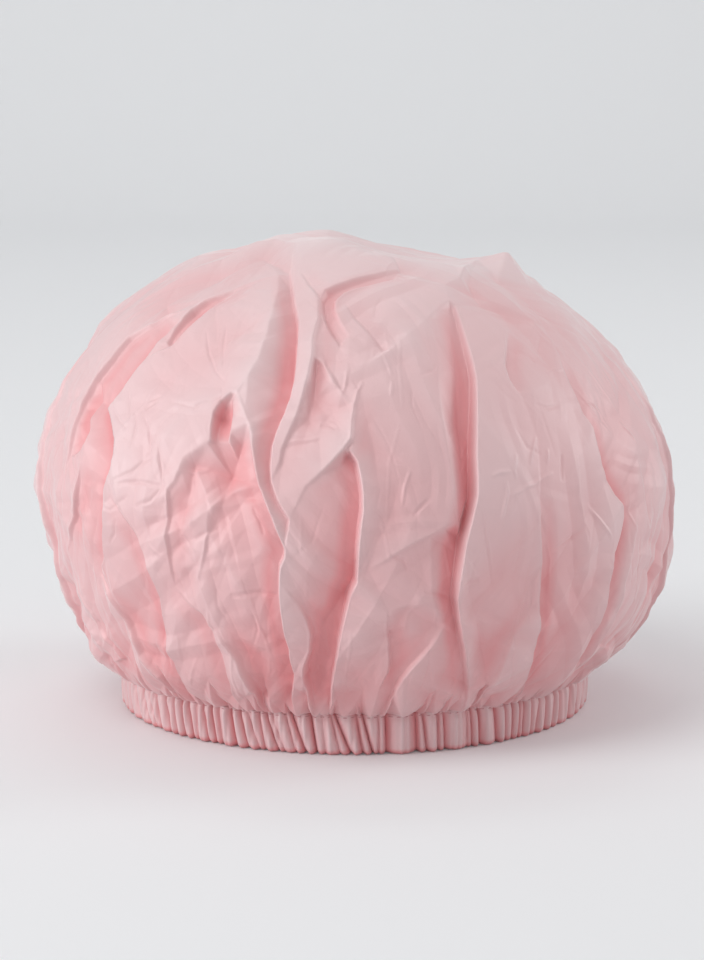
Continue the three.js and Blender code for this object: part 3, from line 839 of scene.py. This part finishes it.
def spread_places(taken, spacing, tries):
    """Angles and arcs of places all over the crown, at a distance from each other and from those taken."""
    kept = []
    points = np.array(taken)
    for _ in range(tries):
        turn = rng.uniform(0, 2 * math.pi)
        arc = ARC_LENGTH * rng.uniform(0, FILL_END) ** FILL_SPREAD
        point = crown_points(np.array(turn), np.array(arc), np.array(0.0))
        if np.min(((points - point) ** 2).sum(axis=1)) > spacing**2:
            kept.append((turn, arc))
            points = np.vstack([points, point])
    return np.array(kept)


def crumple(points):
    """Patches of flat facets with sharp creases between them, as in crumpled cloth."""
    points = points.astype(np.float32)
    total = np.zeros(len(points))
    for width, height, patches in CRUMPLE:
        reach = PATCH_REACH * width
        for _ in range(patches):
            centre = points[rng.integers(len(points))]
            offset = points - centre
            gap = np.einsum("ij,ij->i", offset, offset)
            near = np.flatnonzero(gap < reach**2)
            offset = offset[near]
            outward = centre - (0, 0, DOME_MIDDLE)
            heading = np.cross(outward, rng.normal(0, 1, 3))
            heading /= np.linalg.norm(heading)
            beside = np.cross(outward, heading) / np.linalg.norm(outward)
            across = offset @ heading / width + rng.uniform(0, 1)
            across += CRUMPLE_BEND * np.sin(2 * offset @ beside / width + rng.uniform(0, 2 * math.pi))
            across += CRUMPLE_UNEVEN * np.sin(UNEVEN_PITCH * across)
            fold = 4 * abs(np.mod(across, 1) - 0.5) - 1
            faded = 1 - smoothstep(PATCH_FADE, 1, np.sqrt(gap[near]) / reach)
            total[near] += height * rng.uniform(WEAKEST_PATCH, 1) * fold * faded
    return total


def panel_lines():
    """The photograph's thin creases and ridges, as lines on the blank with a height."""
    lines = []
    for traced, height in ((PANEL_CREASES, -CREASE_DEPTH), (PANEL_RIDGES, CREASE_DEPTH)):
        for pixels in traced:
            turn, arc = np.array([on_crown(pixel, PANEL_LIFT) for pixel in pixels]).T
            lines.append((on_blank(turn, arc), height))
    return lines


def rim_lines():
    """The rolled edges of the folds that lap over, as lines on the blank with a height."""
    return [(on_blank(run[:, 0], run[:, 1]), RIM_HEIGHT) for run, laps in TRACED_FOLDS if any(laps)]


def lap_shades():
    """The shaded cloth beside the folds that lap over, as lines on the blank with how deep the pink is."""
    lines = []
    for run, laps in TRACED_FOLDS:
        if any(laps):
            turn, arc = (run[:, :2] + across_blank(run, sum(laps)) * (LAP_GAP + SHADE_HALF)).T
            lines.append((on_blank(turn, arc), min(1, abs(sum(laps)) / FULL_SHADE)))
    return lines


def loose_lines():
    """Short, thin creases and ridges all over the blank, most of them along the pull of the gathers."""
    lines = []
    for _ in range(LOOSE_CREASES):
        turn = rng.uniform(0, 2 * math.pi)
        heading = turn + rng.normal(0, LOOSE_SPREAD)
        bent = heading + rng.normal(0, LOOSE_SPREAD)
        length = rng.uniform(*LOOSE_LENGTH)
        first = on_blank(turn, ARC_LENGTH * math.sqrt(rng.uniform(0.01, 0.9)))
        second = first + length / 2 * on_blank(heading, 1)
        places = np.array([first, second, second + length / 2 * on_blank(bent, 1)])
        lines.append((places, LOOSE_DEPTH * rng.uniform(-CREASE_DEPTH, CREASE_DEPTH)))
    return lines


def pressed_lines(lines, half_width):
    """Lines as heights over a square grid on the blank, falling off over a half width to both sides."""
    grid = blank_grid(BLANK_STEP)
    size = len(grid)
    for places, height in lines:
        along = lengths_along(places)
        half = half_width / drawn_in(np.hypot(*places.mean(axis=0)))
        low = ((places.min(axis=0) - half) / BLANK_STEP + size / 2).astype(int).clip(0, size - 1)
        high = ((places.max(axis=0) + half) / BLANK_STEP + size / 2).astype(int).clip(0, size - 1)
        cells = np.meshgrid(np.arange(low[0], high[0] + 1), np.arange(low[1], high[1] + 1), indexing="ij")
        here = (np.stack(cells, axis=-1) - size / 2) * BLANK_STEP
        pressed = np.zeros(here.shape[:2])
        for i, length in enumerate(np.diff(along)):
            step = (places[i + 1] - places[i]) / length
            reach = ((here - places[i]) @ step).clip(0, length)
            gap = np.linalg.norm(here - places[i] - reach[..., None] * step, axis=-1)
            taper = np.sin(math.pi * (along[i] + reach) / along[-1]).clip(0) ** 0.5
            pressed = np.maximum(pressed, (1 - gap / half).clip(0) * taper)
        grid[low[0] : high[0] + 1, low[1] : high[1] + 1] += height * pressed
    return grid


def drawn_in(arc):
    """The gathered cloth's width as a share of its blank's, at an arc from the top, and at most 1."""
    return np.minimum(1, np.interp(arc, ARC, ARC_RADIUS) / np.maximum(arc, MM))


def seam_runs():
    """The hem's creases and gathers where they run up from the seam into the crown."""
    runs = []
    ends = np.append(CREASE_TOP, CREASE_TOP[0] + 2 * math.pi)
    for turn, turn_next in zip(ends[:-1], ends[1:]):
        middle = (turn + turn_next) / 2
        run_out = ARC_LENGTH - rng.uniform(*CREASE_RUN)
        lean = rng.normal(0, CREASE_LEAN)
        low = ply_radius(np.array(turn), SEAM_HEIGHT) - HEM_RADIUS
        high = ply_radius(np.array(middle), SEAM_HEIGHT) - HEM_RADIUS
        runs.append(np.array([(turn, ARC_LENGTH, low), (turn + lean, run_out, CREASE_LEFT * low)]))
        runs.append(np.array([(middle, ARC_LENGTH, high), (middle, ARC_LENGTH - GATHER_RUN, high)]))
    return runs


def crown_folds():
    """The crown's lift off the smooth dome, over a square grid on the blank."""
    front = front_runs()
    rear = [rear_run(run) for run in front]
    runs = front + [run for run in rear if len(run) > 2] + side_runs() + seam_runs()
    flat_runs = [(on_blank(run[:, 0], run[:, 1]), run[:, 2]) for run in runs]
    skin = settled_between(flat_runs)
    places = np.concatenate([places for places, _ in flat_runs])
    lifts = np.concatenate([lifts for _, lifts in flat_runs])
    edges, first = [], 0
    for run in runs:
        edges += [(first + i, first + i + 1) for i in range(len(run) - 1)]
        first += len(run)
    taken = np.concatenate([crown_points(run[:, 0], run[:, 1], 0 * run[:, 2]) for run in runs])
    spread = spread_places(taken, FILL_SPACING, FILL_TRIES)
    between = on_blank(spread[:, 0], spread[:, 1])
    puffed = FILL_HEIGHT * smoothstep(0, FILL_FADE, ARC_LENGTH - spread[:, 1])
    settled = sampled(skin, between, SKIN_STEP) + puffed * rng.uniform(-1, 1, len(between))
    rim_turn = np.arange(RIM_POINTS) * 2 * math.pi / RIM_POINTS
    rim = on_blank(rim_turn, np.full(RIM_POINTS, RIM_OVERHANG * ARC_LENGTH))
    places = np.concatenate([places, between, rim])
    lifts = np.concatenate([lifts, settled, np.zeros(RIM_POINTS)])
    return softened(faceted(places, edges, lifts, skin), FOLD_ROUNDING)


# Meshes


def add_piece(name, points, faces, uvs=None):
    """A mesh object with smooth faces, and a place for each corner in its picture where uvs are given."""
    mesh = bpy.data.meshes.new(name)
    mesh.from_pydata(points, [], faces)
    if uvs is not None:
        layer = mesh.uv_layers.new(name="OFBake")
        corners = np.empty(len(mesh.loops), dtype=np.int32)
        mesh.loops.foreach_get("vertex_index", corners)
        layer.data.foreach_set("uv", uvs[corners].astype(np.float32).ravel())
    mesh.shade_smooth()
    mesh.update()
    piece = bpy.data.objects.new(name, mesh)
    bpy.context.collection.objects.link(piece)
    return piece


def grid_normals(points, faces):
    """Outward directions at the points of a mesh of four-sided faces."""
    a, b, c, d = (points[faces[:, i]] for i in range(4))
    across = np.cross(c - a, d - b)
    normals = np.zeros_like(points)
    for i in range(4):
        np.add.at(normals, faces[:, i], across)
    return normals / np.linalg.norm(normals, axis=1, keepdims=True).clip(1e-12)


def disc_grid(cells):
    """Angle and share of the radius at the points of a square grid that is drawn out to a disc."""
    steps = np.linspace(-1, 1, cells + 1)
    a, b = np.meshgrid(steps, steps)
    wide = abs(a) > abs(b)
    share = np.where(wide, a, b)
    safe_a = np.where(wide, a, 1)
    safe_b = np.where(wide | (b == 0), 1, b)
    turn = np.where(wide, math.pi / 4 * b / safe_a, math.pi / 2 - math.pi / 4 * a / safe_b)
    turn = np.where(share < 0, turn + math.pi, turn)
    return turn.ravel(), abs(share).ravel(), a.ravel(), b.ravel()


def disc_faces(cells):
    row, column = np.meshgrid(np.arange(cells), np.arange(cells), indexing="ij")
    first = (row * (cells + 1) + column).ravel()
    return np.stack([first, first + 1, first + cells + 2, first + cells + 1], axis=1)


def disc_rim(cells):
    """The points round the edge of the square grid, in order."""
    side = np.arange(cells)
    last = cells * (cells + 1)
    return np.concatenate([side, side * (cells + 1) + cells, last + cells - side, last - side * (cells + 1)])


def set_pink_and_painted_shade(piece, values):
    """Keeps on the mesh how deep the pink is at each point, much of it painted shade: 0 pale, 1 deep, 2 dark
    red as painted shade in a tight crease.
    """
    layer = piece.data.attributes.new("pink_and_painted_shade", "FLOAT", "POINT")
    layer.data.foreach_set("value", np.clip(values, 0, 2).astype(np.float32))


def make_crown():
    """The crown: one folded sheet of cloth, from its top to the stitch row."""
    turn, share, across, along = disc_grid(CROWN_CELLS)
    arc = share * ARC_LENGTH
    places = on_blank(turn, arc)
    folded = sampled(crown_folds(), places, BLANK_STEP)
    lines = pressed_lines(panel_lines() + rim_lines() + loose_lines(), CREASE_HALF)
    fine = crumple(crown_points(turn, arc, 0 * arc)) + sampled(lines, places, BLANK_STEP)
    fine *= TOP_CRUMPLE + (1 - TOP_CRUMPLE) * smoothstep(*TOP_ZONE, share)
    lift = folded + fine * smoothstep(0, CRUMPLE_FADE, ARC_LENGTH - arc)
    rim = disc_rim(CROWN_CELLS)
    lift[rim] = ply_radius(turn[rim], SEAM_HEIGHT) - HEM_RADIUS
    outer = crown_points(turn, arc, lift)
    faces = disc_faces(CROWN_CELLS)
    uvs = np.stack([across, along], axis=1) * 0.49 + 0.5
    crown = add_piece("crown_cloth", outer, faces, uvs)
    # Painted shade in the pink: deeper towards the gathers, lower in the folds and creases, and beside folds
    # that lap over; paler higher up and at the top, as a painted sheen.
    shade = sampled(pressed_lines(lap_shades(), SHADE_HALF), places, BLANK_STEP)
    pink_and_painted_shade = MEAN_PINK + GATHERED_SHADE_PINK * smoothstep(*GATHERED_ZONE, share)
    pink_and_painted_shade -= TOP_SHEEN_PALENESS * (1 - smoothstep(*PALE_ZONE, share))
    pink_and_painted_shade -= folded / FOLD_SHADE_LIFT + fine / CREASE_SHADE_LIFT
    set_pink_and_painted_shade(crown, np.minimum(pink_and_painted_shade.clip(0) + SHADE_PINK * shade, MOST_PINK))
    return crown


def hem_section(turn):
    """Middle line of the hem's cloth for every angle: down the outer ply, round the foot and up inside."""
    half = CLOTH / 2
    rows = []
    notch = FOOT_NOTCH * (1 - swell(turn, 0))
    for height in np.linspace(SEAM_HEIGHT, FOOT_ROUND, HEM_STEPS):
        rows.append((ply_radius(turn, height) - half, height + notch * (1 - height / SEAM_HEIGHT)))
    foot_outer = ply_radius(turn, 0) - half
    quarter = np.linspace(0, math.pi / 2, FOOT_STEPS)
    for angle in quarter[1:]:
        inset = np.minimum(FOOT_ROUND, foot_outer - PLY_VALLEY + FOOT_EASE) * (1 - math.cos(angle))
        rows.append((foot_outer - inset, notch + half + (FOOT_ROUND - half) * (1 - math.sin(angle))))
    turned_up = TURN_UP_REACH - TURN_UP_GATHER * swell(turn + TURN_UP_OFFSET, 0.5 * SEAM_HEIGHT)
    level = np.ones(turn.shape)
    rows.append((rows[-1][0] * (1 - FOOT_SHARE) + turned_up * FOOT_SHARE, level * half))
    rows.append(((foot_outer + 2 * turned_up) / 3, level * half))
    for angle in quarter:
        radius = turned_up + FOOT_ROUND * (1 - math.sin(angle)) * TURN_UP_ROUND
        rows.append((radius, level * (half + (FOOT_ROUND - half) * (1 - math.cos(angle)))))
    for height in np.linspace(FOOT_ROUND, ELASTIC_CLEAR, HEM_STEPS // 2)[1:]:
        rows.append((turned_up, level * height))
    for share in np.linspace(0, 1, PINCH_STEPS)[1:]:
        caught = smoothstep(0, 1, np.array(share))
        height = ELASTIC_CLEAR + (PINCH_HEIGHT - ELASTIC_CLEAR) * share
        rows.append((turned_up * (1 - caught) + PINCH_REACH * caught, level * height))
    return np.array([radius for radius, _ in rows]), np.array([height for _, height in rows])


def make_hem():
    """The hem: one gathered sheet, turned up inside to make the elastic's tunnel."""
    columns = HEM_COLUMNS
    turn = np.arange(columns) * 2 * math.pi / columns + HEM_START
    radius, height = hem_section(turn)
    rows = len(radius)
    middle = np.stack([radius * np.cos(turn), radius * np.sin(turn), height], axis=-1).reshape(-1, 3)
    row, column = np.meshgrid(np.arange(rows - 1), np.arange(columns), indexing="ij")
    here = row * columns + column
    beside = row * columns + (column + 1) % columns
    faces = np.stack([here, here + columns, beside + columns, beside], axis=-1).reshape(-1, 4)
    normals = grid_normals(middle, faces)
    outer = middle + normals * CLOTH / 2
    inner = middle - normals * CLOTH / 2
    count = len(middle)
    ring = np.arange(columns)
    ring_next = np.roll(ring, -1)
    first_edge = np.stack([ring, ring_next, ring_next + count, ring + count], axis=1)
    last = (rows - 1) * columns
    last_edge = np.stack([ring_next, ring, ring + count, ring_next + count], axis=1) + last
    every_face = np.concatenate([faces, faces[:, ::-1] + count, first_edge, last_edge])
    hem = add_piece("hem_cloth", np.concatenate([outer, inner]), every_face)
    # Painted shade in the pink: deeper down in the gathers' creases, with a painted shadow along the foot.
    sunk = (radius.max(axis=1, keepdims=True) - radius) / GATHER_DEPTH
    low = 1 - smoothstep(0, FOOT_SHADE, height)
    set_pink_and_painted_shade(hem, np.tile((HEM_PINK + CREASE_SHADE_PINK * sunk + FOOT_SHADOW_PINK * low).ravel(), 2))
    return hem


def make_stitches(name, height, reach):
    """A row of short stitches round the hem, whose ends go into the cloth. reach is their distance out."""
    count = round(2 * math.pi * HEM_RADIUS / STITCH_PITCH)
    sides, rings = STITCH_SIDES, STITCH_RINGS
    steps = np.linspace(-0.5, 0.5, rings)
    sink = THREAD_RADIUS * STITCH_SINK * (2 * abs(steps)) ** 4
    points, faces = [], []
    for stitch in range(count):
        turn = 2 * math.pi * stitch / count + steps * STITCH_LENGTH / HEM_RADIUS
        distance = reach(turn) - sink
        for i in range(rings):
            for side in range(sides):
                angle = 2 * math.pi * side / sides
                radius = distance[i] + THREAD_RADIUS * math.cos(angle)
                level = height + THREAD_RADIUS * math.sin(angle)
                points.append((radius * math.cos(turn[i]), radius * math.sin(turn[i]), level))
        first = stitch * rings * sides
        for i in range(rings - 1):
            for side in range(sides):
                beside = (side + 1) % sides
                low = first + i * sides
                faces.append((low + side, low + beside, low + sides + beside, low + sides + side))
        faces.append(tuple(first + side for side in reversed(range(sides))))
        last = first + (rings - 1) * sides
        faces.append(tuple(last + side for side in range(sides)))
    return add_piece(name, points, faces)


# Materials


def new_material(name, values):
    """A material, its nodes, its links and its shader, whose inputs are set to the values."""
    material = bpy.data.materials.new(name)
    material.use_nodes = True
    nodes = material.node_tree.nodes
    shader = nodes["Principled BSDF"]
    set_inputs(shader, values)
    return material, nodes, material.node_tree.links, shader


def set_inputs(node, values):
    for name, value in values.items():
        node.inputs[name].default_value = value


def add_sum(nodes, kind, operation):
    """A node that works something out, on numbers (Math) or on vectors (VectorMath)."""
    node = nodes.new("ShaderNode" + kind)
    node.operation = operation
    return node


def fine_crumple_group():
    """Shared by the cloth and the elastic: fine, soft unevenness, put out as a height and as a tone."""
    group = bpy.data.node_groups.new("fine_crumple", "ShaderNodeTree")
    for name, way in (("Scale", "INPUT"), ("Height", "OUTPUT"), ("Tone", "OUTPUT")):
        group.interface.new_socket(name, in_out=way, socket_type="NodeSocketFloat")
    nodes = group.nodes
    start = nodes.new("NodeGroupInput")
    end = nodes.new("NodeGroupOutput")
    place = nodes.new("ShaderNodeTexCoord")
    broad = nodes.new("ShaderNodeTexNoise")
    set_inputs(broad, {"Detail": 3, "Distortion": 0.6})
    facets = nodes.new("ShaderNodeTexVoronoi")
    from_site = add_sum(nodes, "VectorMath", "SUBTRACT")
    tilt = add_sum(nodes, "VectorMath", "SUBTRACT")
    tilt.inputs[1].default_value = (0.5, 0.5, 0.5)
    tilted = add_sum(nodes, "VectorMath", "DOT_PRODUCT")
    sized = add_sum(nodes, "Math", "MULTIPLY")
    total = add_sum(nodes, "Math", "MULTIPLY_ADD")
    total.inputs[1].default_value = BROAD_SHARE
    for source, target in (
        (place.outputs["Object"], broad.inputs["Vector"]),
        (start.outputs["Scale"], broad.inputs["Scale"]),
        (place.outputs["Object"], facets.inputs["Vector"]),
        (start.outputs["Scale"], facets.inputs["Scale"]),
        (place.outputs["Object"], from_site.inputs[0]),
        (facets.outputs["Position"], from_site.inputs[1]),
        (facets.outputs["Color"], tilt.inputs[0]),
        (from_site.outputs["Vector"], tilted.inputs[0]),
        (tilt.outputs["Vector"], tilted.inputs[1]),
        (tilted.outputs["Value"], sized.inputs[0]),
        (start.outputs["Scale"], sized.inputs[1]),
        (broad.outputs["Fac"], total.inputs[0]),
        (sized.outputs["Value"], total.inputs[2]),
        (total.outputs["Value"], end.inputs["Height"]),
        (broad.outputs["Fac"], end.inputs["Tone"]),
    ):
        group.links.new(source, target)
    return group


def add_crumple(nodes, links, shader, group, scale, strength, depth):
    """Places the shared crumple in a material, as a bump. Returns its node."""
    crumple_node = nodes.new("ShaderNodeGroup")
    crumple_node.node_tree = group
    set_inputs(crumple_node, {"Scale": scale})
    bump = nodes.new("ShaderNodeBump")
    set_inputs(bump, {"Strength": strength, "Distance": depth})
    links.new(crumple_node.outputs["Height"], bump.inputs["Height"])
    links.new(bump.outputs["Normal"], shader.inputs["Normal"])
    return crumple_node


def pink_satin_cloth(group):
    """Thin coated cloth: satin, pale on its crests as a painted sheen and a deeper pink down in its folds as
    painted shade.
    """
    material, nodes, links, shader = new_material("pink_satin_cloth", {
        "Specular IOR Level": 0.8,
        "Coat Weight": 0.35,
        "Coat Roughness": 0.45,
        "Sheen Weight": 0.5,
        "Sheen Roughness": 0.4,
    })
    pink_and_painted_shade = nodes.new("ShaderNodeAttribute")
    pink_and_painted_shade.attribute_name = "pink_and_painted_shade"
    tint = nodes.new("ShaderNodeMix")
    tint.data_type = "RGBA"
    tint.inputs["A"].default_value = PALE_SHEEN_PINK
    tint.inputs["B"].default_value = DEEP_SHADE_PINK
    links.new(pink_and_painted_shade.outputs["Fac"], tint.inputs["Factor"])
    # Past 1 the pink turns to dark red: painted shade in tight creases.
    crease_shade_share = add_sum(nodes, "Math", "SUBTRACT")
    crease_shade_share.inputs[1].default_value = 1
    links.new(pink_and_painted_shade.outputs["Fac"], crease_shade_share.inputs[0])
    crease_shaded = nodes.new("ShaderNodeMix")
    crease_shaded.data_type = "RGBA"
    crease_shaded.inputs["B"].default_value = CREASE_SHADE_RED
    links.new(tint.outputs["Result"], crease_shaded.inputs["A"])
    links.new(crease_shade_share.outputs["Value"], crease_shaded.inputs["Factor"])
    links.new(crease_shaded.outputs["Result"], shader.inputs["Base Color"])
    crumple_node = add_crumple(nodes, links, shader, group, *CLOTH_BUMP)
    gloss = nodes.new("ShaderNodeMapRange")
    set_inputs(gloss, {"To Min": 0.44, "To Max": 0.58})
    links.new(crumple_node.outputs["Tone"], gloss.inputs["Value"])
    links.new(gloss.outputs["Result"], shader.inputs["Roughness"])
    return material


def braided_elastic(group):
    values = {"Base Color": ELASTIC_WHITE, "Roughness": 0.8}
    material, nodes, links, shader = new_material("braided_elastic", values)
    add_crumple(nodes, links, shader, group, *ELASTIC_BUMP)
    return material


def sewing_thread():
    return new_material("sewing_thread", {"Base Color": THREAD_PINK, "Roughness": 0.7})[0]


def pale_paper():
    """The floor's paper. Only the camera sees its own brightness, so it hardly takes up the cap's pink."""
    values = {"Base Color": PAPER_WHITE, "Roughness": 0.9, "Emission Color": PAPER_GLOW}
    material, nodes, links, shader = new_material("pale_paper", values)
    rays = nodes.new("ShaderNodeLightPath")
    seen = add_sum(nodes, "Math", "MULTIPLY")
    seen.inputs[1].default_value = PAPER_GLOW_STRENGTH
    links.new(rays.outputs["Is Camera Ray"], seen.inputs[0])
    links.new(seen.outputs["Value"], shader.inputs["Emission Strength"])
    return material


# The cap


def make_cap():
    """The cap's own pieces, and new materials on the two that come from the frame."""
    group = fine_crumple_group()
    cloth = pink_satin_cloth(group)
    thread = sewing_thread()
    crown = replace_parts(make_crown(), "crown")
    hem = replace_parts(make_hem(), "hem_casing")
    bobbin_height = STITCH_HEIGHT - BOBBIN_DROP
    needle = make_stitches("needle_stitches", STITCH_HEIGHT, lambda turn: ply_radius(turn, STITCH_HEIGHT))
    bobbin = make_stitches("bobbin_stitches", bobbin_height, lambda turn: 0 * turn + PINCH_REACH - CLOTH)
    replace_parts(needle, "hem_needle_thread")
    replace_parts(bobbin, "hem_bobbin_thread")
    for piece, material in ((crown, cloth), (hem, cloth), (needle, thread), (bobbin, thread)):
        piece.data.materials.append(material)
        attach(piece, "cap")
    for node, material in (("elastic_band", braided_elastic(group)), ("elastic_join_thread", thread)):
        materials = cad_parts[node].data.materials
        materials.clear()
        materials.append(material)


# Stage, light and camera


def make_stage():
    """A pale floor that sweeps up behind the cap."""
    bend = BACKDROP_BEND
    sweep = [(-FLOOR_REACH, 0.0), (BACKDROP - bend, 0.0)]
    for angle in np.linspace(0.1, math.pi / 2, BEND_STEPS):
        sweep.append((BACKDROP + bend * (math.sin(angle) - 1), bend * (1 - math.cos(angle))))
    sweep.append((BACKDROP, BACKDROP_HEIGHT))
    points = [(x, y, z) for y, z in sweep for x in (-FLOOR_REACH, FLOOR_REACH)]
    faces = [(2 * i, 2 * i + 1, 2 * i + 3, 2 * i + 2) for i in range(len(sweep) - 1)]
    floor = add_piece("pale_sweep", points, faces)
    floor.data.materials.append(pale_paper())


def aimed_at(place, target):
    return (Vector(target) - Vector(place)).to_track_quat("-Z", "Y").to_euler()


def add_lamp(name, place, target, size, power, colour):
    lamp = bpy.data.lights.new(name, "AREA")
    lamp.shape = "DISK"
    lamp.size = size
    lamp.energy = power
    lamp.color = colour
    holder = bpy.data.objects.new(name, lamp)
    holder.location = place
    holder.rotation_euler = aimed_at(place, target)
    bpy.context.collection.objects.link(holder)


def make_light():
    """Large soft windows to the left, above and to the right, a lamp on the backdrop, and a pale room."""
    for name, lamp in LAMPS.items():
        add_lamp(name, *lamp)
    world = bpy.data.worlds.new("pale_room")
    world.use_nodes = True
    set_inputs(world.node_tree.nodes["Background"], {"Color": ROOM_COLOUR, "Strength": ROOM_STRENGTH})
    bpy.context.scene.world = world


def make_camera():
    """The photograph's view: its whole height is the sensor's."""
    camera = bpy.data.cameras.new("photo_camera")
    camera.sensor_fit = "VERTICAL"
    camera.sensor_height = SENSOR_HEIGHT
    camera.lens = SENSOR_HEIGHT * FOCAL_PIXELS / PHOTO_HEIGHT
    holder = bpy.data.objects.new("photo_camera", camera)
    place = camera_axes()[0]
    holder.location = place
    holder.rotation_euler = aimed_at(place, CAMERA_TARGET)
    bpy.context.collection.objects.link(holder)
    bpy.context.scene.camera = holder


make_cap()
make_stage()
make_light()
make_camera()
bpy.context.scene.view_settings.view_transform = "Standard"
